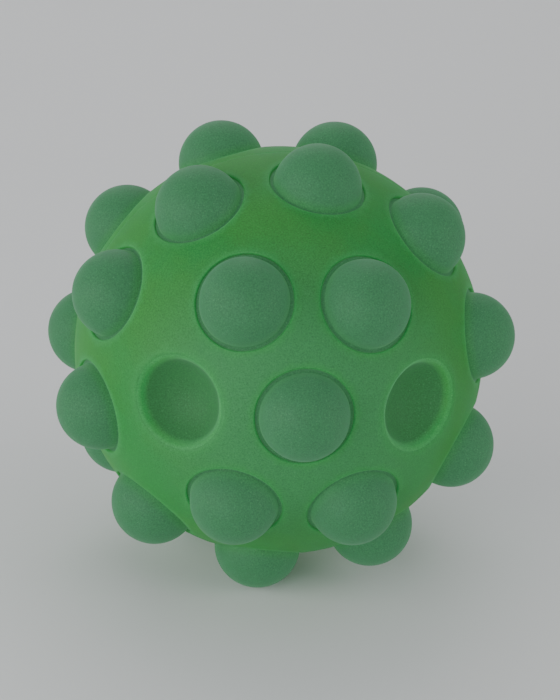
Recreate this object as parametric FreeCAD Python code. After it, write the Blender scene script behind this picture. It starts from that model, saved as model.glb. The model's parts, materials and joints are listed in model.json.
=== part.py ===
"""Hollow silicone pop ball: two moulded half shells joined at a seam, studded with
domed bubbles that each snap inwards and out again. Two bubbles are stored pressed in.

Millimetres. The ball lies on three raised bubbles, on the plane Z = 0, with its centre
straight above the origin. The front half's pole faces -Y.
"""
import FreeCAD, Part
import math
import os
from FreeCAD import Matrix, Placement, Vector

# Driving dimensions of the ball
SHELL_RADIUS = 30.0
SHELL_WALL = 3.2
SEAM_BOND_WIDTH = 1.0
SEAM_BOND_INSET = 1.1
SEAM_BOND_DEPTH = 0.8

# Driving dimensions of one bubble, measured along its own axis from the ball's centre
DOME_RADIUS = 6.3
DOME_CENTRE = 28.83
DOME_WALL = 0.9
WEB_TOP = 28.6
WEB_BOTTOM = 27.6

# A bubble that is snapped in: a round lip, then a shallow bowl
CUP_MOUTH = 6.2
CUP_ROUNDING = 1.1
CUP_SLOPE = 60.0

# The opening in the shell that a bubble sits in
GROOVE_RADIUS = 6.8
LEDGE_RADIUS = 6.5
MOUTH_ROUNDING = 0.4
WEB_CLEARANCE = 0.08
CUP_CLEARANCE = 0.05

# Where the bubbles sit: one at each pole, and rings named with their tilt from the pole
RINGS = (("inner", 35.4, 6), ("outer", 71.1, 10))
REAR_HALF_TURN = -11.2
PRESSED_IN = ("front_bubble_inner_2", "front_bubble_inner_5")
RESTS_ON = ("rear_bubble_outer_6", "rear_bubble_outer_5", "front_bubble_outer_5")

MARGIN = 5.0
AXIS = Vector(0, 0, 1)
CENTRE = Vector(0, 0, 0)


def at(radius, height):
    """A point of a profile that will be turned about the Z axis."""
    return Vector(radius, 0, height)


def arc(start, centre, end):
    """The shorter arc of a profile round a centre, from one point to another."""
    first, last = start - centre, end - centre
    between = (first.normalize() + last.normalize()).normalize()
    middle = centre + between * start.distanceToPoint(centre)
    return Part.Arc(start, middle, end).toShape()


def chain(*points):
    """Straight edges from each point to the next."""
    return [Part.LineSegment(a, b).toShape() for a, b in zip(points, points[1:])]


def turned(edges):
    """The solid that a closed profile sweeps about the Z axis."""
    wire = Part.Wire(Part.__sortEdges__(edges))
    solid = Part.Face(wire).revolve(CENTRE, AXIS, 360)
    if solid.Volume < 0:
        solid.reverse()
    return solid


def direction(tilt, azimuth, side):
    """Unit vector to a bubble: side is 1 on the front half and -1 on the rear half."""
    down, round_axis = math.radians(tilt), math.radians(azimuth)
    flat = math.sin(down)
    return Vector(flat * math.cos(round_axis), flat * math.sin(round_axis), side * math.cos(down))


def seats():
    """Each bubble's name and its direction from the ball's centre."""
    places = {}
    for half, side, twist in (("front", 1, 0.0), ("rear", -1, REAR_HALF_TURN)):
        places[f"{half}_bubble_pole"] = direction(0, 0, side)
        for ring, tilt, count in RINGS:
            for number in range(count):
                azimuth = 360 * number / count + twist
                places[f"{half}_bubble_{ring}_{number + 1}"] = direction(tilt, azimuth, side)
    return places


def standing_upright(outward):
    """The placement that turns the Z axis to point along a bubble's own axis."""
    return Placement(CENTRE, FreeCAD.Rotation(AXIS, outward))


def lying_on_table(places):
    """The placement that sets the ball down on its three lowest raised bubbles."""
    a, b, c = (places[name] for name in RESTS_ON)
    down = (b - a).cross(c - a).normalize()
    if down.dot(a) < 0:
        down = -down
    up = -down
    height = DOME_CENTRE * down.dot(a) + DOME_RADIUS
    front = (AXIS - up * AXIS.dot(up)).normalize()
    back = -front
    right = back.cross(up)
    turn = Matrix(
        right.x, right.y, right.z, 0,
        back.x, back.y, back.z, 0,
        up.x, up.y, up.z, height,
        0, 0, 0, 1,
    )
    return Placement(turn)


def half_shell(side):
    """Half of the hollow ball, with a groove in its rim for the bond."""
    outer, inner = SHELL_RADIUS, SHELL_RADIUS - SHELL_WALL
    groove_out = outer - SEAM_BOND_INSET
    groove_in = groove_out - SEAM_BOND_WIDTH
    deep = side * SEAM_BOND_DEPTH
    rim = chain(
        at(inner, 0),
        at(groove_in, 0),
        at(groove_in, deep),
        at(groove_out, deep),
        at(groove_out, 0),
        at(outer, 0),
    )
    skin = arc(at(outer, 0), CENTRE, at(0, side * outer))
    pole = chain(at(0, side * outer), at(0, side * inner))
    lining = arc(at(0, side * inner), CENTRE, at(inner, 0))
    return turned([*rim, skin, *pole, lining])


def opening():
    """What is cut from the shell for one bubble: bore, ledge and rounded mouth."""
    below = SHELL_RADIUS - SHELL_WALL - MARGIN
    above = SHELL_RADIUS + MARGIN
    round_at = GROOVE_RADIUS + MOUTH_ROUNDING
    round_height = math.sqrt((SHELL_RADIUS - MOUTH_ROUNDING) ** 2 - round_at**2)
    spread = SHELL_RADIUS / (SHELL_RADIUS - MOUTH_ROUNDING)
    mouth = at(round_at * spread, round_height * spread)
    wall_top = at(GROOVE_RADIUS, round_height)
    bore = chain(
        at(0, below),
        at(LEDGE_RADIUS, below),
        at(LEDGE_RADIUS, WEB_BOTTOM),
        at(GROOVE_RADIUS, WEB_BOTTOM),
        wall_top,
    )
    rounding = arc(wall_top, at(round_at, round_height), mouth)
    outside = chain(mouth, at(mouth.x, above), at(0, above), at(0, below))
    return turned([*bore, rounding, *outside])


def raised_bubble():
    """A hollow dome on a thin web that rests on the opening's ledge."""
    web_radius = GROOVE_RADIUS - WEB_CLEARANCE
    inside = DOME_RADIUS - DOME_WALL
    centre = at(0, DOME_CENTRE)
    foot = at(DOME_RADIUS, DOME_CENTRE)
    dome = arc(centre + at(0, DOME_RADIUS), centre, foot)
    skirt = chain(
        foot,
        at(DOME_RADIUS, WEB_TOP),
        at(web_radius, WEB_TOP),
        at(web_radius, WEB_BOTTOM),
        at(inside, WEB_BOTTOM),
        at(inside, DOME_CENTRE),
    )
    lining = arc(at(inside, DOME_CENTRE), centre, centre + at(0, inside))
    apex = chain(centre + at(0, inside), centre + at(0, DOME_RADIUS))
    return turned([dome, *skirt, lining, *apex])


def pressed_bubble():
    """The same bubble snapped inwards: a shallow bowl whose round lip closes the groove."""
    slope = math.radians(CUP_SLOPE)
    web_radius = GROOVE_RADIUS - WEB_CLEARANCE
    outside = LEDGE_RADIUS - CUP_CLEARANCE
    lip_r = CUP_MOUTH + CUP_ROUNDING * math.sin(slope)
    lip_z = math.sqrt((SHELL_RADIUS - CUP_ROUNDING) ** 2 - lip_r**2)
    lip_top = at(web_radius, lip_z + math.sqrt(CUP_ROUNDING**2 - (lip_r - web_radius) ** 2))
    mouth = at(CUP_MOUTH, lip_z + CUP_ROUNDING * math.cos(slope))
    bowl_radius = CUP_MOUTH / math.sin(slope)
    centre = at(0, mouth.z + bowl_radius * math.cos(slope))
    floor = centre - at(0, bowl_radius)
    back_radius = bowl_radius + DOME_WALL
    underside = centre - at(0, back_radius)
    corner = at(outside, centre.z - math.sqrt(back_radius**2 - outside**2))
    bowl = arc(floor, centre, mouth)
    lip = arc(mouth, at(lip_r, lip_z), lip_top)
    edge = chain(lip_top, at(web_radius, WEB_BOTTOM), at(outside, WEB_BOTTOM), corner)
    back = arc(corner, centre, underside)
    print("crown moves", round(DOME_CENTRE + DOME_RADIUS - floor.z, 3), "mm when the bubble snaps")
    return turned([bowl, lip, *edge, back, *chain(underside, floor)])


def seam_bond():
    """The ring of cured bond that fills the grooves in both rims."""
    outer = SHELL_RADIUS - SEAM_BOND_INSET
    inner = outer - SEAM_BOND_WIDTH
    low, high = -SEAM_BOND_DEPTH, SEAM_BOND_DEPTH
    return turned(chain(at(inner, low), at(outer, low), at(outer, high), at(inner, high), at(inner, low)))


def save(shape, node, resting):
    """Write one node's STEP file, with the ball set down on the table."""
    placed = shape.copy()
    placed.Placement = resting.multiply(placed.Placement)
    if not placed.isValid() or len(placed.Solids) != 1:
        raise SystemExit(f"{node} is not one valid solid")
    placed.Solids[0].exportStep(f"parts/{node}.step")
    print(f"{node:28s} {placed.Volume:10.1f} mm3")


os.makedirs("parts", exist_ok=True)
places = seats()
resting = lying_on_table(places)
hole, dome, cup = opening(), raised_bubble(), pressed_bubble()
for half, side in (("front", 1), ("rear", -1)):
    holes = []
    for name, outward in places.items():
        if name.startswith(half):
            cutter = hole.copy()
            cutter.Placement = standing_upright(outward)
            holes.append(cutter)
    save(half_shell(side).cut(holes), f"{half}_shell", resting)
save(seam_bond(), "seam_bond", resting)
for name, outward in places.items():
    bubble = (cup if name in PRESSED_IN else dome).copy()
    bubble.Placement = standing_upright(outward)
    save(bubble, name, resting)
print("ball centre above the table", round(resting.Base.z, 3), "mm")
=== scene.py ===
# %% [markdown]
# # A ball of popping bubbles
#
# The object is a hollow ball of soft silicone that fits in one hand. Two moulded halves meet
# at a seam, and thin domes stand all over it. Press a dome and it snaps inwards and becomes a
# cup; squeeze the ball and the cup pops out again.
#
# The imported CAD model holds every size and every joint, so this lesson reads its places from
# there and makes the parts that the eye sees: the two shells with their rounded openings, the
# bubbles, and a frosted silicone that lets a little light through.

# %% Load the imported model
import json
import math

import bmesh
import bpy
from mathutils import Matrix, Vector, noise
from mathutils.geometry import delaunay_2d_cdt


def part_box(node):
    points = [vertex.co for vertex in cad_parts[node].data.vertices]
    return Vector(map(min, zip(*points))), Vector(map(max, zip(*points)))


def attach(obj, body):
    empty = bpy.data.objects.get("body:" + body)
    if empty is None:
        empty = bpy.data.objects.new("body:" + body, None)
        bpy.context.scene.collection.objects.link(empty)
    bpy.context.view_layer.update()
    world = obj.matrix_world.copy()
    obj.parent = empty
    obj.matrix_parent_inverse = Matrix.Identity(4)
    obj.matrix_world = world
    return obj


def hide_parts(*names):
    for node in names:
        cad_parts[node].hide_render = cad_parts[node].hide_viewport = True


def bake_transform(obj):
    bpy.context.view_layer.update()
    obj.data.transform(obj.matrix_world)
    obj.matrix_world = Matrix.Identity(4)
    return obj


MM = 0.001
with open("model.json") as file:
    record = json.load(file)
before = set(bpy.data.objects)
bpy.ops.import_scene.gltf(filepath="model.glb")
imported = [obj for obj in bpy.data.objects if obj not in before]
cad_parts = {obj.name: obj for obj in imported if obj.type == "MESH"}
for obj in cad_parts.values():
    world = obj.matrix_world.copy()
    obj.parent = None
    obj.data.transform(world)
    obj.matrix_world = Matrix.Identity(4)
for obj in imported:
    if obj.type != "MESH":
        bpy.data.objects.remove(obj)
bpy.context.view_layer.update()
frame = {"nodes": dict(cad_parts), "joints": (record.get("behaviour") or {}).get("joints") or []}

# %% [markdown]
# ## Where everything sits
#
# The ring of bond in the seam is centred on the ball, so the middle of its box is the ball's
# centre. Each bubble's joint slides towards that centre, so the joint's axis, turned round,
# points from the centre to the bubble. A bubble whose joint can only move outwards is one that
# is stored pressed in.

# %% Find the centre, each bubble's direction and which bubbles are pressed in
low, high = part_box("seam_bond")
ball_centre = (low + high) / 2
outward = {j["child"]: -Vector(j["axis"]).normalized() for j in frame["joints"]}
pressed_in = {j["child"] for j in frame["joints"] if min(j["range_m"]) < 0}
halves = {half: outward[f"{half}_bubble_pole"] for half in ("front", "rear")}
print("centre", [round(x / MM, 2) for x in ball_centre], "mm; pressed in:", sorted(pressed_in))

# %% [markdown]
# ## The sizes of the moulding
#
# All lengths are along or across a bubble's own axis, measured from the ball's centre. They
# repeat the mould drawing: a shell a few millimetres thick, a groove round each dome, and a
# thin web at the groove's foot where the silicone bends. Only the groove is drawn a fifth of a
# millimetre shallower than it is moulded, and its edge a little sharper, because light that
# seeps through the silicone softens the real one.

# %% Name the sizes
SHELL_RADIUS = 30.0 * MM
SHELL_WALL = 3.2 * MM
LINING_RADIUS = SHELL_RADIUS - SHELL_WALL

DOME_RADIUS = 6.3 * MM
DOME_CENTRE = 28.83 * MM
DOME_WALL = 0.9 * MM
WEB_TOP = 28.78 * MM
WEB_BOTTOM = 27.62 * MM

GROOVE_RADIUS = 6.8 * MM
LEDGE_LEVEL = 27.6 * MM
LEDGE_RADIUS = 6.5 * MM
MOUTH_ROUNDING = 0.32 * MM

CUP_MOUTH = 6.2 * MM
CUP_ROUNDING = 1.1 * MM
CUP_SLOPE = math.radians(60)
CUP_LIP_R = CUP_MOUTH + CUP_ROUNDING * math.sin(CUP_SLOPE)
CUP_LIP_Z = math.sqrt((SHELL_RADIUS - CUP_ROUNDING) ** 2 - CUP_LIP_R**2)
CUP_HINGE = CUP_LIP_Z + CUP_ROUNDING * math.cos(CUP_SLOPE)
BOWL_RADIUS = CUP_MOUTH / math.sin(CUP_SLOPE)
BOWL_CENTRE = CUP_HINGE + BOWL_RADIUS * math.cos(CUP_SLOPE)

# %% [markdown]
# ## Small helpers
#
# A profile is a list of points, each with a distance from the axis, a height along it and a
# shade between -1 and 1. A shade above 0 says how deep in a fold the point lies, and the
# material paints shade there, darker and greyer. A shade below 0 marks an edge, and the material
# paints light there: it makes the edge paler, as light coming out of the silicone would.

# %% Helpers for profiles and objects
SHARP_ANGLE = math.radians(50)


def along(values, part):
    """A value part of the way, 0 to 1, along a short list of evenly spaced values."""
    spot = part * (len(values) - 1)
    before = min(int(spot), len(values) - 2)
    return values[before] + (values[before + 1] - values[before]) * (spot - before)


def arc(centre_r, centre_z, radius, start, end, steps, shade=(0.0, 0.0)):
    """Points on a round stretch of a profile, from one angle in degrees to another."""
    points = []
    for i in range(steps + 1):
        part = i / steps
        turn = math.radians(start + (end - start) * part)
        r = centre_r + radius * math.cos(turn)
        z = centre_z + radius * math.sin(turn)
        points.append((r, z, along(shade, part)))
    return points


def across(axis):
    """Two unit vectors square to an axis and to each other."""
    first = axis.orthogonal().normalized()
    return first, axis.cross(first)


def ring_points(axis, radius, height, count):
    """Evenly spaced points round an axis through the ball's centre."""
    first, second = across(axis)
    points = []
    for i in range(count):
        turn = 2 * math.pi * i / count
        sideways = first * math.cos(turn) + second * math.sin(turn)
        points.append(axis * height + sideways * radius)
    return points


def linked(name, data):
    """A new object with this data, linked to the scene."""
    made = bpy.data.objects.new(name, data)
    bpy.context.scene.collection.objects.link(made)
    return made


def close_outwards(mesh):
    """Point a closed mesh's faces outwards and say how many edges are open."""
    tidy = bmesh.new()
    tidy.from_mesh(mesh)
    bmesh.ops.recalc_face_normals(tidy, faces=tidy.faces)
    if tidy.calc_volume(signed=True) < 0:
        bmesh.ops.reverse_faces(tidy, faces=tidy.faces)
    open_edges = sum(not e.is_manifold for e in tidy.edges)
    tidy.to_mesh(mesh)
    tidy.free()
    mesh.set_sharp_from_angle(angle=SHARP_ANGLE)
    return open_edges


print("helpers: along, arc, across, ring_points, linked, close_outwards")

# %% [markdown]
# ## The half shells
#
# Each half is one thick moulding with a round opening for every bubble. A boolean cut would
# leave long thin faces that spoil the shading, so the skin is laid out like a pattern on paper:
# the hemisphere is flattened by stereographic projection, which keeps circles round, the edges
# of the openings are drawn in, loose points are scattered between them, and a Delaunay
# triangulation joins them up. Rings of faces then carry each edge round its lip, down the
# groove, over the ledge and through to the lining.

# %% Flatten a hemisphere and triangulate it between its openings
RIM_STEPS = 96
SEAM_STEPS = 360
SKIN_SPACING = 0.85 * MM
LINING_SPACING = 2.0 * MM
GOLDEN_TURN = math.pi * (3 - math.sqrt(5))
EDGE_GAP = 0.6
EDGE_SLACK = 0.999
SAME_POINT = 1e-7


def flatten(unit, pole, first, second):
    """Stereographic projection of a direction on the pole's half of the sphere."""
    share = 1 + unit.dot(pole)
    return Vector((unit.dot(first) / share, unit.dot(second) / share))


def scattered(pole, radius, spacing, seats, clear, rim_height):
    """Even points on a half sphere, away from the openings and the rim."""
    first, second = across(pole)
    count = int(2 * math.pi * radius**2 / (spacing**2 * math.sqrt(3) / 2))
    gap = EDGE_GAP * spacing / radius
    points = []
    for i in range(count):
        height = (i + 0.5) / count
        turn = GOLDEN_TURN * i
        flat = math.sqrt(1 - height**2)
        unit = pole * height + first * (flat * math.cos(turn)) + second * (flat * math.sin(turn))
        if height * radius < rim_height + EDGE_GAP * spacing:
            continue
        if all(unit.angle(seat) > angle + gap for seat, angle in zip(seats, clear)):
            points.append(unit * radius)
    return points


def skin_faces(points, rings, pole, seats, clear):
    """Triangles between the rings of points, with the openings left out."""
    first, second = across(pole)
    flat = [flatten(p.normalized(), pole, first, second) for p in points]
    edges = [(ring[i - 1], ring[i]) for ring in rings for i in range(len(ring))]
    _, _, faces, origin, _, _ = delaunay_2d_cdt(flat, edges, [], 0, SAME_POINT)
    kept = []
    for face in faces:
        corners = [origin[i][0] for i in face]
        middle = sum((points[i].normalized() for i in corners), Vector()).normalized()
        if all(middle.angle(seat) > EDGE_SLACK * angle for seat, angle in zip(seats, clear)):
            kept.append(corners)
    return kept


print("rings of", RIM_STEPS, "points round an opening,", SEAM_STEPS, "round the seam")

# %% [markdown]
# ### From the pattern to a shell
#
# Each ring below is one turn of a profile. The edge of a raised bubble's opening rounds over
# into a groove. That of a pressed one rolls over more fully and meets the bubble's own rim. The
# surface then swells in and out by a few hundredths of a millimetre, as soft mouldings do.

# %% Build the two half shells
CUP_JOIN = math.degrees(math.acos((GROOVE_RADIUS - CUP_LIP_R) / CUP_ROUNDING))
RIM_LAND = 0.1 * MM
SEAM_ROUNDING = 0.15 * MM
BOND_OUTSIDE = 28.9 * MM
BOND_INSIDE = 27.9 * MM
BOND_DEPTH = 0.8 * MM
UNEVEN_SIZE = 9.0 * MM
UNEVEN_AMOUNT = 0.045 * MM


def plain_lip():
    """The rounded edge round a raised bubble, from the skin to the groove's wall."""
    centre_r = GROOVE_RADIUS + MOUTH_ROUNDING
    centre_z = math.sqrt((SHELL_RADIUS - MOUTH_ROUNDING) ** 2 - centre_r**2)
    leaves = math.degrees(math.atan2(centre_z, centre_r))
    # Painted light on the lip's crown, turning to painted shade as it rolls into the groove.
    lip = arc(centre_r, centre_z, MOUTH_ROUNDING, leaves, 180, 8, (-0.8, -1.0, -0.5, 0.4))
    return [*lip, (GROOVE_RADIUS, WEB_TOP, 1.0)]


def cup_lip():
    """The fuller edge round a pressed bubble, as far as the bubble's own rim."""
    leaves = math.degrees(math.atan2(CUP_LIP_Z, CUP_LIP_R))
    # Painted light along the rolled lip, and painted shade where it meets the bubble's rim.
    lip = arc(CUP_LIP_R, CUP_LIP_Z, CUP_ROUNDING, leaves, CUP_JOIN, 4, (-0.4, -0.6))
    rim_r, rim_z, _ = lip[-1]
    return [*lip, (rim_r, rim_z - RIM_LAND, 0.5)]


def opening_profile(pressed):
    """The edge of an opening: round lip, groove wall, ledge and bore."""
    edge = cup_lip() if pressed else plain_lip()
    lining_height = math.sqrt(LINING_RADIUS**2 - LEDGE_RADIUS**2)
    # Painted shade fills the groove wall and the ledge, and fades out down the bore.
    return [
        *edge,
        (GROOVE_RADIUS, (edge[-1][1] + LEDGE_LEVEL) / 2, 1.0),
        (GROOVE_RADIUS, LEDGE_LEVEL, 1.0),
        (LEDGE_RADIUS, LEDGE_LEVEL, 1.0),
        (LEDGE_RADIUS, lining_height, 0.0),
    ]


def seam_profile():
    """The rim where the halves meet: rounded edge, flat land and the bond's groove."""
    edge_radius = math.sqrt((SHELL_RADIUS - SEAM_ROUNDING) ** 2 - SEAM_ROUNDING**2)
    tangent = math.degrees(math.atan2(SEAM_ROUNDING, edge_radius))
    # Painted shade grows over the seam's rounded edge into the bond's groove.
    edge = arc(edge_radius, SEAM_ROUNDING, SEAM_ROUNDING, tangent, -90, 6, (0.0, 0.5))
    return [
        *edge,
        (BOND_OUTSIDE, 0.0, 1.0),
        (BOND_OUTSIDE, BOND_DEPTH, 0.0),
        (BOND_INSIDE, BOND_DEPTH, 0.0),
        (BOND_INSIDE, 0.0, 0.0),
        (LINING_RADIUS, 0.0, 0.0),
    ]


def half_shell(half):
    """One moulded half: skin, openings, rim and lining in a single closed mesh."""
    pole = halves[half]
    names = [name for name in outward if name.startswith(half)]
    seats = [outward[name] for name in names]
    verts, shades, faces = [], [], []

    def add_ring(axis, point, steps):
        start = len(verts)
        verts.extend(ring_points(axis, point[0], point[1], steps))
        shades.extend([point[2]] * steps)
        return list(range(start, start + steps))

    def add_band(axis, profile, steps):
        rings = [add_ring(axis, point, steps) for point in profile]
        for upper, lower in zip(rings, rings[1:]):
            for i in range(steps):
                faces.append((upper[i - 1], upper[i], lower[i], lower[i - 1]))
        return rings[0], rings[-1]

    rim = seam_profile()
    edges = [opening_profile(name in pressed_in) for name in names]
    bands = [add_band(seat, edge, RIM_STEPS) for seat, edge in zip(seats, edges)]
    bands.append(add_band(pole, rim, SEAM_STEPS))
    layers = (
        (0, SHELL_RADIUS, SKIN_SPACING, rim[0][1]),
        (-1, LINING_RADIUS, LINING_SPACING, 0.0),
    )
    for side, radius, spacing, rim_height in layers:
        clear = [math.atan2(edge[side][0], edge[side][1]) for edge in edges]
        rings = [band[side] for band in bands]
        loose = scattered(pole, radius, spacing, seats, clear, rim_height)
        used = [i for ring in rings for i in ring]
        place = {i: n for n, i in enumerate(used)}
        points = [verts[i] for i in used] + loose
        start = len(verts) - len(used)
        numbered = [[place[i] for i in ring] for ring in rings]
        found = skin_faces(points, numbered, pole, seats, clear)
        verts.extend(loose)
        shades.extend([0.0] * len(loose))
        for corners in found:
            faces.append([used[i] if i < len(used) else start + i for i in corners])
    return verts, shades, faces


def uneven(point):
    """A point of the skin, moved a hair in or out as soft moulded silicone is."""
    swell = noise.noise(point / UNEVEN_SIZE, noise_basis="PERLIN_ORIGINAL")
    return point + point.normalized() * (swell * UNEVEN_AMOUNT)


def shell_object(half):
    """The half shell as an object, with its painted shade and light stored for the material."""
    verts, shades, faces = half_shell(half)
    mesh = bpy.data.meshes.new(f"{half}_shell_skin")
    placed = [ball_centre + uneven(v) for v in verts]
    mesh.from_pydata(placed, [], faces)
    # One value per point: above 0 painted shade, below 0 painted light.
    painted_shade_and_light = mesh.attributes.new("painted_shade_and_light", "FLOAT", "POINT")
    painted_shade_and_light.data.foreach_set("value", shades)
    mesh.shade_smooth()
    open_edges = close_outwards(mesh)
    print(mesh.name, len(mesh.polygons), "faces;", open_edges, "open edges")
    return linked(mesh.name, mesh)


shells = {half: shell_object(half) for half in halves}

# %% [markdown]
# ## The bubbles
#
# Every bubble is a turned shape, so two profiles are enough: one for a raised dome, one for a
# cup that is pressed in. A dome springs from its web with a small fillet. A cup is a shallow
# bowl that rolls over a round lip and meets the lip of its opening.

# %% Draw the two profiles
WEB_FILLET = 0.28 * MM
DOME_FOOT = 24
FOOT_STEP = 3
CUP_CLEARANCE = 0.05 * MM
CUP_OUTSIDE = LEDGE_RADIUS - CUP_CLEARANCE


def dome_profile():
    """A raised bubble, from the top of its crown, down to the web and back up inside."""
    inside = DOME_RADIUS - DOME_WALL
    fillet_z = WEB_TOP + WEB_FILLET
    rise = fillet_z - DOME_CENTRE
    fillet_r = math.sqrt((DOME_RADIUS + WEB_FILLET) ** 2 - rise**2)
    touch = math.degrees(math.atan2(rise, fillet_r))
    return [
        *arc(0, DOME_CENTRE, DOME_RADIUS, 90, DOME_FOOT + FOOT_STEP, 20),
        # Painted shade grows down the dome's foot and over the fillet into the groove.
        *arc(0, DOME_CENTRE, DOME_RADIUS, DOME_FOOT, touch, 7, (0.0, 0.1, 0.4, 0.7)),
        *arc(fillet_r, fillet_z, WEB_FILLET, 180 + touch, 270, 5, (0.7, 1.0, 1.0))[1:],
        (GROOVE_RADIUS, WEB_TOP, 1.0),
        (GROOVE_RADIUS, WEB_BOTTOM, 1.0),
        (inside, WEB_BOTTOM, 0.0),
        *arc(0, DOME_CENTRE, inside, 0, 90, 12),
    ]


def cup_profile():
    """A pressed bubble, from the middle of its bowl, up over its lip and down outside."""
    slope = math.degrees(CUP_SLOPE)
    back_radius = BOWL_RADIUS + DOME_WALL
    corner = math.degrees(math.asin(CUP_OUTSIDE / back_radius))
    # Painted light on the cup's lip; faint painted shade in the bowl, more at the rim's foot.
    lip = arc(CUP_LIP_R, CUP_LIP_Z, CUP_ROUNDING, 90 + slope, CUP_JOIN, 9, (0.0, -0.3, -0.5, -0.6))
    return [
        *arc(0, BOWL_CENTRE, BOWL_RADIUS, -90, slope - 90, 22, (0.1, 0.1))[:-1],
        *lip,
        (GROOVE_RADIUS, lip[-1][1] - RIM_LAND, 0.5),
        (GROOVE_RADIUS, WEB_BOTTOM, 1.0),
        (CUP_OUTSIDE, WEB_BOTTOM, 0.0),
        *arc(0, BOWL_CENTRE, back_radius, corner - 90, -90, 12),
    ]


def profile_object(name, points):
    """A profile as a line of points in the XZ plane, with its shade on each point."""
    mesh = bpy.data.meshes.new(name)
    places = [(r, 0.0, z) for r, z, _ in points]
    mesh.from_pydata(places, [(i, i + 1) for i in range(len(points) - 1)], [])
    shade = mesh.attributes.new("painted_shade_and_light", "FLOAT", "POINT")
    shade.data.foreach_set("value", [dark for _, _, dark in points])
    return bpy.data.objects.new(name, mesh)


print("dome profile:", len(dome_profile()), "points; cup profile:", len(cup_profile()), "points")

# %% [markdown]
# ### The lathe
#
# Geometry Nodes turn the profiles. The tree is a small lathe: a grid of points gets its places
# from the profile, one step along the profile for each row and one step round the axis for each
# column. It then swells the wall a hair unevenly, tips the bubble over to its own direction and
# gives it its silicone.

# %% Build the lathe
MERGE_DISTANCE = 1e-6
SWELL_SCALE = 160.0


class Tree:
    """A few short words for making a node tree: its sockets, its nodes and its links."""

    def __init__(self, name, kind):
        self.tree = bpy.data.node_groups.new(name, kind)
        self.sockets = {}

    def socket(self, name, kind, way="INPUT", value=None, low=None, high=None):
        made = self.tree.interface.new_socket(name=name, in_out=way, socket_type=kind)
        if value is not None:
            made.default_value = value
        if low is not None:
            made.min_value = low
        if high is not None:
            made.max_value = high
        self.sockets[name] = made.identifier
        return made

    def node(self, kind, inputs=None, **settings):
        made = self.tree.nodes.new(kind)
        for name, value in settings.items():
            setattr(made, name, value)
        for key, value in (inputs or {}).items():
            if isinstance(value, bpy.types.NodeSocket):
                self.tree.links.new(value, made.inputs[key])
            else:
                made.inputs[key].default_value = value
        return made

    def math(self, operation, *values):
        return self.node("ShaderNodeMath", dict(enumerate(values)), operation=operation).outputs[0]

    def vector(self, operation, inputs, output=0):
        made = self.node("ShaderNodeVectorMath", inputs, operation=operation)
        return made.outputs[output]

    def mixed(self, share, first, second):
        """A colour between two, from the first at share 0 to the second at share 1."""
        made = self.tree.nodes.new("ShaderNodeMix")
        made.data_type = "RGBA"
        sockets = [s for s in made.inputs if s.enabled and s.name in ("Factor", "A", "B")]
        for value, socket in zip((share, first, second), sockets):
            if isinstance(value, bpy.types.NodeSocket):
                self.tree.links.new(value, socket)
            else:
                socket.default_value = value
        return next(s for s in made.outputs if s.enabled)


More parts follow.
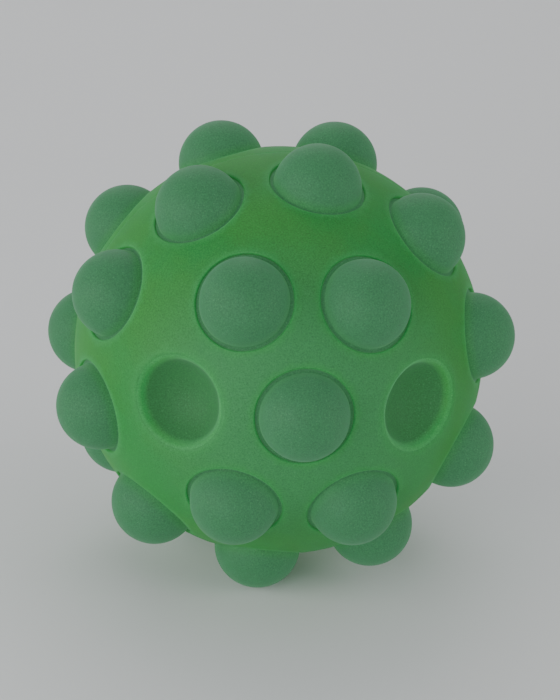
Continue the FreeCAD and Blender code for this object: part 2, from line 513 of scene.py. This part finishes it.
def lathe_tree():
    """Turns a profile about Z, roughens it a hair and tips it towards a direction."""
    t = Tree("pop bubble lathe", "GeometryNodeTree")
    t.socket("Profile", "NodeSocketGeometry")
    t.socket("Geometry", "NodeSocketGeometry", "OUTPUT")
    t.socket("Steps Round", "NodeSocketInt", value=96, low=8, high=256)
    t.socket("Direction", "NodeSocketVector", value=(0, 0, 1))
    t.socket("Ball Centre", "NodeSocketVector", value=(0, 0, 0))
    t.socket("Unevenness", "NodeSocketFloat", value=0.0, low=0.0, high=0.001)
    t.socket("Seed", "NodeSocketFloat", value=0.0)
    t.socket("Silicone", "NodeSocketMaterial")
    given = t.node("NodeGroupInput").outputs

    profile = {"Geometry": given["Profile"]}
    rows = t.node("GeometryNodeAttributeDomainSize", profile).outputs["Point Count"]
    columns = t.math("ADD", given["Steps Round"], 1)
    grid = t.node("GeometryNodeMeshGrid", {"Vertices X": rows, "Vertices Y": columns})
    index = t.node("GeometryNodeInputIndex").outputs[0]
    row = t.math("FLOOR", t.math("DIVIDE", t.math("ADD", index, 0.5), columns))
    column = t.math("SUBTRACT", index, t.math("MULTIPLY", row, columns))

    def sampled(value, kind):
        wanted = {"Geometry": given["Profile"], "Value": value, "Index": row}
        return t.node("GeometryNodeSampleIndex", wanted, data_type=kind).outputs[0]

    place = t.node("GeometryNodeInputPosition").outputs[0]
    # The profile's painted shade and light, carried round onto every ring.
    painted_shade_and_light = t.node("GeometryNodeInputNamedAttribute", {"Name": "painted_shade_and_light"}, data_type="FLOAT")
    spot = sampled(place, "FLOAT_VECTOR")
    dark = sampled(painted_shade_and_light.outputs[0], "FLOAT")

    parts = t.node("ShaderNodeSeparateXYZ", {0: spot}).outputs
    turn = t.math("MULTIPLY", t.math("DIVIDE", column, given["Steps Round"]), 2 * math.pi)
    round_x = t.math("MULTIPLY", parts["X"], t.math("COSINE", turn))
    round_y = t.math("MULTIPLY", parts["X"], t.math("SINE", turn))
    turned = t.node("ShaderNodeCombineXYZ", {"X": round_x, "Y": round_y, "Z": parts["Z"]})

    def step(kind, body, inputs=None, **settings):
        """One more geometry node on the way from the grid to the bubble."""
        return t.node(kind, {"Geometry": body, **(inputs or {})}, **settings).outputs[0]

    body = step("GeometryNodeSetPosition", grid.outputs["Mesh"], {"Position": turned.outputs[0]})
    shade = {"Name": "painted_shade_and_light", "Value": dark}
    body = step("GeometryNodeStoreNamedAttribute", body, shade, data_type="FLOAT", domain="POINT")
    body = step("GeometryNodeMergeByDistance", body, {"Distance": MERGE_DISTANCE})

    waves = {"Vector": place, "W": given["Seed"], "Scale": SWELL_SCALE, "Detail": 1.0}
    swell = t.node("ShaderNodeTexNoise", waves, noise_dimensions="4D").outputs[0]
    amount = t.math("MULTIPLY", t.math("SUBTRACT", swell, 0.5), given["Unevenness"])
    flat = t.vector("MULTIPLY", {0: place, 1: (1, 1, 0)})
    away = t.vector("NORMALIZE", {0: flat})
    shift = t.vector("SCALE", {0: away, "Scale": amount})
    body = step("GeometryNodeSetPosition", body, {"Offset": shift})

    upright = {"Vector": given["Direction"]}
    tip = t.node("FunctionNodeAlignRotationToVector", upright, axis="Z").outputs[0]
    place_on_ball = {"Translation": given["Ball Centre"], "Rotation": tip}
    body = step("GeometryNodeTransform", body, place_on_ball)
    body = step("GeometryNodeRealizeInstances", body)
    body = step("GeometryNodeSetShadeSmooth", body)
    body = step("GeometryNodeSetMaterial", body, {"Material": given["Silicone"]})
    t.node("NodeGroupOutput", {"Geometry": body})
    return t


lathe = lathe_tree()
print("lathe inputs:", [name for name in lathe.sockets if name != "Geometry"])

# %% [markdown]
# ## The frosted silicone
#
# The ball is pigmented silicone with a matt mould finish and a glow powder stirred in. Thick
# silicone looks a full green and thin silicone a paler, bluer green, because less pigment lies
# behind the surface. One node group works the colour out: clouds of uneven pigment, fine grain
# and specks, and painted light and shade besides. It paints a paler, bluer highlight towards each
# half's pole, shade in the folds, in the grooves and deep in the cups, and light along the
# edges of the openings. The shader itself stays in each material, with light scattering under
# the skin and a faint sheen.

# %% Build the silicone's colour group
# Skin, Cloud and Crown are the silicone's own colours; the other four tones are painted highlight,
# painted shade and painted edge light.
SKIN_TONES = ("Skin", "Cloud", "Pole Highlight", "Crown", "Deep Shade", "Groove Shade", "Edge Light")
SPECK_COLOUR = (0.45, 0.75, 0.45, 1)
BASE_DEPTH = 29.2 * MM
CROWN_DEPTH = 31.2 * MM
# Distances from the ball's centre where the painted shade deep in the cups starts and where it is
# full.
SHADE_START_DEPTH = 29.1 * MM
SHADE_FULL_DEPTH = 28.2 * MM
# Painted highlight: how near a pole, as a cosine, the paler bluer tone starts and where it is full.
POLE_HIGHLIGHT_SPAN = (0.55, 1.0)

CLOUD_SCALE = 75.0
CLOUD_SPAN = (0.38, 0.62)
GRAIN_SCALE = 4800.0
GRAIN_ON_FROST = 0.25
GRAIN_ON_HEIGHT = 0.35
RIPPLE_SCALE = 420.0
SPECK_SCALE = 2200.0
SPECK_SPAN = (0.30, 0.12)
NOISE_ROUGHNESS = 0.55
SPECKS_LEFT_OUT = 0.6


def silicone_group():
    """Colour with painted light and shade, roughness and surface height of glow silicone, over the
    ball's own space.
    """
    t = Tree("glow silicone", "ShaderNodeTree")
    for tone in SKIN_TONES:
        t.socket(tone, "NodeSocketColor", value=(0.1, 0.3, 0.1, 1))
    t.socket("Cloud Amount", "NodeSocketFloat", value=0.6, low=0, high=1)
    t.socket("Crown Amount", "NodeSocketFloat", value=0.0, low=0, high=1)
    t.socket("Speck Amount", "NodeSocketFloat", value=0.02, low=0, high=1)
    t.socket("Frosting", "NodeSocketFloat", value=0.62, low=0, high=1)
    t.socket("Ball Centre", "NodeSocketVector", value=(0, 0, 0))
    t.socket("Pole Direction", "NodeSocketVector", value=(0, -1, 0))
    t.socket("Colour", "NodeSocketColor", "OUTPUT")
    t.socket("Roughness", "NodeSocketFloat", "OUTPUT")
    t.socket("Height", "NodeSocketFloat", "OUTPUT")
    given = t.node("NodeGroupInput").outputs

    def share(value, start, end):
        """0 at the start value, 1 at the end value, with a soft step between."""
        wanted = {"Value": value, "From Min": start, "From Max": end}
        return t.node("ShaderNodeMapRange", wanted, interpolation_type="SMOOTHSTEP").outputs[0]

    def noise_at(scale, detail):
        wanted = {"Vector": inside, "Scale": scale, "Detail": detail}
        wanted["Roughness"] = NOISE_ROUGHNESS
        return t.node("ShaderNodeTexNoise", wanted).outputs[0]

    place = t.node("ShaderNodeTexCoord").outputs["Object"]
    inside = t.vector("SUBTRACT", {0: place, 1: given["Ball Centre"]})
    depth = t.vector("LENGTH", {0: inside}, "Value")

    cloud = t.math("MULTIPLY", share(noise_at(CLOUD_SCALE, 4.0), *CLOUD_SPAN), given["Cloud Amount"])
    colour = t.mixed(cloud, given["Skin"], given["Cloud"])
    # Painted highlight: the colour turns paler and bluer towards each half's pole.
    facing = {0: t.vector("NORMALIZE", {0: inside}), 1: given["Pole Direction"]}
    polar = t.math("ABSOLUTE", t.vector("DOT_PRODUCT", facing, "Value"))
    colour = t.mixed(share(polar, *POLE_HIGHLIGHT_SPAN), colour, given["Pole Highlight"])
    crown = t.math("MULTIPLY", share(depth, BASE_DEPTH, CROWN_DEPTH), given["Crown Amount"])
    colour = t.mixed(crown, colour, given["Crown"])
    # Deep in the cups the colour darkens: mostly painted shade of the hollow, partly the thicker
    # silicone there.
    colour = t.mixed(share(depth, SHADE_START_DEPTH, SHADE_FULL_DEPTH), colour, given["Deep Shade"])

    # Painted shade: above 0 the colour goes over to the darker, greyer tone of shade in grooves and
    # folds.
    shade = t.node("ShaderNodeAttribute", attribute_name="painted_shade_and_light").outputs["Fac"]
    colour = t.mixed(shade, colour, given["Groove Shade"])
    # Painted light: below 0 the colour goes over to the paler tone of light at the edges.
    colour = t.mixed(t.math("MULTIPLY", shade, -1.0), colour, given["Edge Light"])

    cells = {"Vector": inside, "Scale": SPECK_SCALE, "Randomness": 1.0}
    powder = t.node("ShaderNodeTexVoronoi", cells)
    speck = share(powder.outputs["Distance"], *SPECK_SPAN)
    draw = t.node("ShaderNodeSeparateColor", {"Color": powder.outputs["Color"]}).outputs[0]
    fleck = t.math("MULTIPLY", speck, t.math("GREATER_THAN", draw, SPECKS_LEFT_OUT))
    colour = t.mixed(t.math("MULTIPLY", fleck, given["Speck Amount"]), colour, SPECK_COLOUR)

    grain = noise_at(GRAIN_SCALE, 3.0)
    colour = t.vector("SCALE", {0: colour, "Scale": t.math("ADD", grain, 0.5)})

    uneven_frost = t.math("MULTIPLY", t.math("SUBTRACT", grain, 0.5), GRAIN_ON_FROST)
    rough = t.math("ADD", given["Frosting"], uneven_frost)
    ripple = noise_at(RIPPLE_SCALE, 2.0)
    height = t.math("ADD", t.math("MULTIPLY", grain, GRAIN_ON_HEIGHT), ripple)
    t.node("NodeGroupOutput", {"Colour": colour, "Roughness": rough, "Height": height})
    return t.tree


glow_silicone = silicone_group()
print("silicone group:", len(glow_silicone.nodes), "nodes")

# %% [markdown]
# ### Three finishes from one recipe
#
# The shell is the thick silicone, the bubbles the thin one, and the bond in the seam is clear.
# They share the group and differ in their colours, in how far light wanders under the skin, in
# how strongly they glow and in the sheen of their frosting. The glow is only partly the glow
# powder's: mostly it is painted light, standing in for light that passes through the silicone and
# softens its shading, most of all in the thin bubbles. The bubbles' tones are the shell's, made
# darker by the same share, because a thin wall has less silicone to scatter light back.

# %% Mix the silicones
BUBBLE_SHARE = 0.84
BUMP_STRENGTH = 0.28
BUMP_DISTANCE = 0.12 * MM
SILICONE_IOR = 1.41
SHINE = 0.2
SCATTER_SHARE = 0.75
SCATTER_COLOURS = (0.35, 1.0, 0.45)
SHEEN_ROUGHNESS = 0.45
SHEEN_TINT = (0.75, 1.0, 0.9, 1)


# The glow sets the emission strength: painted light, only partly the glow powder's.
def silicone(name, tones, scatter, glow, sheen, **amounts):
    """A frosted silicone. Colours are linear, and scatter is a length in metres."""
    made = bpy.data.materials.new(name)
    made.use_nodes = True
    nodes, links = made.node_tree.nodes, made.node_tree.links
    nodes.clear()
    surface = nodes.new("ShaderNodeGroup")
    surface.node_tree = glow_silicone
    for tone in SKIN_TONES:
        surface.inputs[tone].default_value = (*tones[tone], 1)
    for amount, value in amounts.items():
        surface.inputs[amount.replace("_", " ").title()].default_value = value
    surface.inputs["Ball Centre"].default_value = ball_centre
    surface.inputs["Pole Direction"].default_value = halves["front"]
    bump = nodes.new("ShaderNodeBump")
    bump.inputs["Strength"].default_value = BUMP_STRENGTH
    bump.inputs["Distance"].default_value = BUMP_DISTANCE
    links.new(surface.outputs["Height"], bump.inputs["Height"])
    shader = nodes.new("ShaderNodeBsdfPrincipled")
    links.new(surface.outputs["Colour"], shader.inputs["Base Color"])
    # The emission is painted light: the surface colour glows to stand in for light passing through
    # the silicone.
    links.new(surface.outputs["Colour"], shader.inputs["Emission Color"])
    links.new(surface.outputs["Roughness"], shader.inputs["Roughness"])
    links.new(bump.outputs["Normal"], shader.inputs["Normal"])
    shader.inputs["Emission Strength"].default_value = glow
    shader.inputs["IOR"].default_value = SILICONE_IOR
    shader.inputs["Specular IOR Level"].default_value = SHINE
    shader.inputs["Subsurface Weight"].default_value = SCATTER_SHARE
    shader.inputs["Subsurface Radius"].default_value = SCATTER_COLOURS
    shader.inputs["Subsurface Scale"].default_value = scatter
    shader.inputs["Sheen Weight"].default_value = sheen
    shader.inputs["Sheen Roughness"].default_value = SHEEN_ROUGHNESS
    shader.inputs["Sheen Tint"].default_value = SHEEN_TINT
    end = nodes.new("ShaderNodeOutputMaterial")
    links.new(shader.outputs["BSDF"], end.inputs["Surface"])
    return made


shell_tones = {
    "Skin": (0.017, 0.148, 0.032),
    "Cloud": (0.026, 0.143, 0.024),
    # painted highlight towards each pole
    "Pole Highlight": (0.032, 0.156, 0.053),
    "Crown": (0.025, 0.103, 0.044),
    # painted shade deep in the cups
    "Deep Shade": (0.018, 0.094, 0.028),
    # painted shade in grooves and folds
    "Groove Shade": (0.024, 0.104, 0.040),
    # painted light at the edges of the openings
    "Edge Light": (0.026, 0.172, 0.046),
}
bubble_tones = {
    tone: tuple(BUBBLE_SHARE * part for part in colour) for tone, colour in shell_tones.items()
}
bond_tones = {tone: (0.030, 0.180, 0.035) for tone in SKIN_TONES}
shell_silicone = silicone("shell_silicone", shell_tones, scatter=4.0 * MM, glow=0.45, sheen=0.03)
# The bubbles glow most: painted light for what passes through their thin walls.
bubble_silicone = silicone(
    "bubble_silicone", bubble_tones, scatter=3.0 * MM, glow=1.2, sheen=0.07, crown_amount=1.0
)
bond_silicone = silicone("seam_bond", bond_tones, scatter=3.0 * MM, glow=0.45, sheen=0.03)
print("materials:", shell_silicone.name, bubble_silicone.name, bond_silicone.name)

# %% [markdown]
# ## Dress the shells
#
# The shells ride on the ball's body, each in place of its CAD solid. The ring of bond in the
# seam is the CAD solid itself, with the clear silicone on it.

# %% Put the shells on the ball
for half, shell in shells.items():
    shell.data.materials.append(shell_silicone)
    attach(shell, "ball")
    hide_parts(f"{half}_shell")
bond = frame["nodes"]["seam_bond"]
bond.data.materials.clear()
bond.data.materials.append(bond_silicone)
print("shells dressed:", [shell.name for shell in shells.values()])

# %% [markdown]
# ## Turn the bubbles
#
# Each bubble has its own copy of the lathe's modifier, with its own direction and seed, and
# becomes a plain mesh of its own, because each bubble moves by itself. On the ball its web is
# moulded to the shell, and its crown moves with the bubble's joint.

# %% Turn each bubble on the lathe
STEPS_ROUND = 96
UNEVENNESS = 0.10 * MM
profiles = {
    False: profile_object("dome_profile", dome_profile()),
    True: profile_object("cup_profile", cup_profile()),
}


def turned_bubble(name, seed):
    """One bubble as a plain mesh, turned from its profile and facing its own way."""
    blank = linked(f"{name}_skin", profiles[name in pressed_in].data.copy())
    turning = blank.modifiers.new("lathe", "NODES")
    turning.node_group = lathe.tree
    turning[lathe.sockets["Steps Round"]] = STEPS_ROUND
    turning[lathe.sockets["Direction"]] = outward[name]
    turning[lathe.sockets["Ball Centre"]] = ball_centre
    turning[lathe.sockets["Unevenness"]] = UNEVENNESS
    turning[lathe.sockets["Seed"]] = float(seed)
    turning[lathe.sockets["Silicone"]] = bubble_silicone
    evaluated = blank.evaluated_get(bpy.context.evaluated_depsgraph_get())
    mesh = bpy.data.meshes.new_from_object(evaluated)
    blank.modifiers.clear()
    blank.data = mesh
    mesh.name = f"{name}_skin"
    return blank


# Each bubble is a mesh of its own: seed and direction differ, the profile is shared.
leaks = 0
for seed, name in enumerate(outward):
    bubble = turned_bubble(name, seed)
    leaks += close_outwards(bubble.data)
    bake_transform(bubble)
    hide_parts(name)
print(len(outward), "bubbles;", leaks, "open edges;", len(bubble.data.polygons), "faces in the last")

# %% [markdown]
# ## The room
#
# A pale sheet runs along the table and curves up behind the ball, so that no edge shows.

# %% Lay the sheet
FLOOR_WIDTH = 2.4
FLOOR_FRONT = -1.0
FLOOR_BACK = 0.55
COVE_RADIUS = 0.35
COVE_STEPS = 16
WALL_TOP = 1.6
PAPER_ROUGHNESS = 0.9
PAPER_MOTTLE = 6.0
PAPER_TONES = (0.70, 0.74)


def cove():
    """Floor, curve and wall as one strip of faces."""
    line = [(FLOOR_FRONT, 0.0)]
    for step in range(COVE_STEPS + 1):
        turn = math.radians(90 * step / COVE_STEPS)
        line.append((FLOOR_BACK + COVE_RADIUS * math.sin(turn), COVE_RADIUS * (1 - math.cos(turn))))
    line.append((FLOOR_BACK + COVE_RADIUS, WALL_TOP))
    verts = [(x, y, z) for y, z in line for x in (-FLOOR_WIDTH / 2, FLOOR_WIDTH / 2)]
    faces = [(i, i + 1, i + 3, i + 2) for i in range(0, len(verts) - 2, 2)]
    mesh = bpy.data.meshes.new("paper_cove")
    mesh.from_pydata(verts, [], faces)
    mesh.shade_smooth()
    return linked("paper_cove", mesh)


def paper():
    """Pale matt paper with a barely visible mottle."""
    made = bpy.data.materials.new("pale_paper")
    made.use_nodes = True
    nodes, links = made.node_tree.nodes, made.node_tree.links
    shader = nodes["Principled BSDF"]
    shader.inputs["Roughness"].default_value = PAPER_ROUGHNESS
    place = nodes.new("ShaderNodeTexCoord")
    mottle = nodes.new("ShaderNodeTexNoise")
    mottle.inputs["Scale"].default_value = PAPER_MOTTLE
    tone = nodes.new("ShaderNodeMapRange")
    tone.inputs["To Min"].default_value = PAPER_TONES[0]
    tone.inputs["To Max"].default_value = PAPER_TONES[1]
    links.new(place.outputs["Object"], mottle.inputs["Vector"])
    links.new(mottle.outputs[0], tone.inputs["Value"])
    links.new(tone.outputs[0], shader.inputs["Base Color"])
    return made


sheet = cove()
sheet.data.materials.append(paper())
print("cove:", len(sheet.data.polygons), "faces")

# %% [markdown]
# ### The lights
#
# One large soft light stands low on the left, as a window would, with a second in front of the
# ball. A weaker, warmer one fills from the right, and a wide one hangs over it from behind.
# Large lights keep the shading as gentle as frosted silicone needs.

# %% Hang the lights
ROOM_TINT = (0.9, 0.95, 1.0, 1)
ROOM_STRENGTH = 0.42


def looking_from(azimuth, elevation, roll, distance):
    """Where a camera or lamp stands to face the ball's centre. Azimuth 0 is in front."""
    turn = math.radians(azimuth)
    rise = math.radians(elevation)
    level = math.cos(rise)
    back = Vector((math.sin(turn) * level, -math.cos(turn) * level, math.sin(rise)))
    right = Vector((0, 0, 1)).cross(back).normalized()
    up = back.cross(right)
    place = Matrix.Translation(ball_centre + back * distance)
    face = Matrix((right, up, back)).transposed().to_4x4()
    return place @ face @ Matrix.Rotation(math.radians(roll), 4, "Z")


def soft_light(name, azimuth, elevation, distance, size, power, tint=(1, 1, 1)):
    """A square area light that faces the ball. Lengths are in metres, power in watts."""
    data = bpy.data.lights.new(name, "AREA")
    data.size = size
    data.energy = power
    data.color = tint
    lamp = linked(name, data)
    lamp.matrix_world = looking_from(azimuth, elevation, 0.0, distance)


soft_light("window", -74, 4, distance=0.7, size=0.55, power=5.2, tint=(1.0, 0.99, 0.96))
soft_light("front", -30, 10, distance=0.9, size=0.5, power=4.8, tint=(0.95, 0.98, 1.0))
soft_light("fill", 66, 12, distance=0.8, size=0.6, power=2.7, tint=(1.0, 0.97, 0.94))
soft_light("overhead", 180, 50, distance=0.8, size=0.7, power=2.2)
world = bpy.data.worlds.new("room")
world.use_nodes = True
world.node_tree.nodes["Background"].inputs["Color"].default_value = ROOM_TINT
world.node_tree.nodes["Background"].inputs["Strength"].default_value = ROOM_STRENGTH
bpy.context.scene.world = world

# %% [markdown]
# ## The camera
#
# A long lens looks down from a little to the left of the front pole, tilted by three degrees.

# %% Stand the camera
CAMERA_AZIMUTH = -7.93
CAMERA_ELEVATION = 21.58
CAMERA_ROLL = 2.95
CAMERA_DISTANCE = 374.6 * MM
LENS = 130.6
SENSOR_WIDTH = 36.0
NUDGE = 0.0018

lens = bpy.data.cameras.new("camera")
lens.lens = LENS
lens.sensor_width = SENSOR_WIDTH
lens.shift_x = NUDGE
camera = linked("camera", lens)
stand = (CAMERA_AZIMUTH, CAMERA_ELEVATION, CAMERA_ROLL, CAMERA_DISTANCE)
camera.matrix_world = looking_from(*stand)
bpy.context.scene.camera = camera
print("camera at", [round(x / MM, 1) for x in camera.location], "mm")
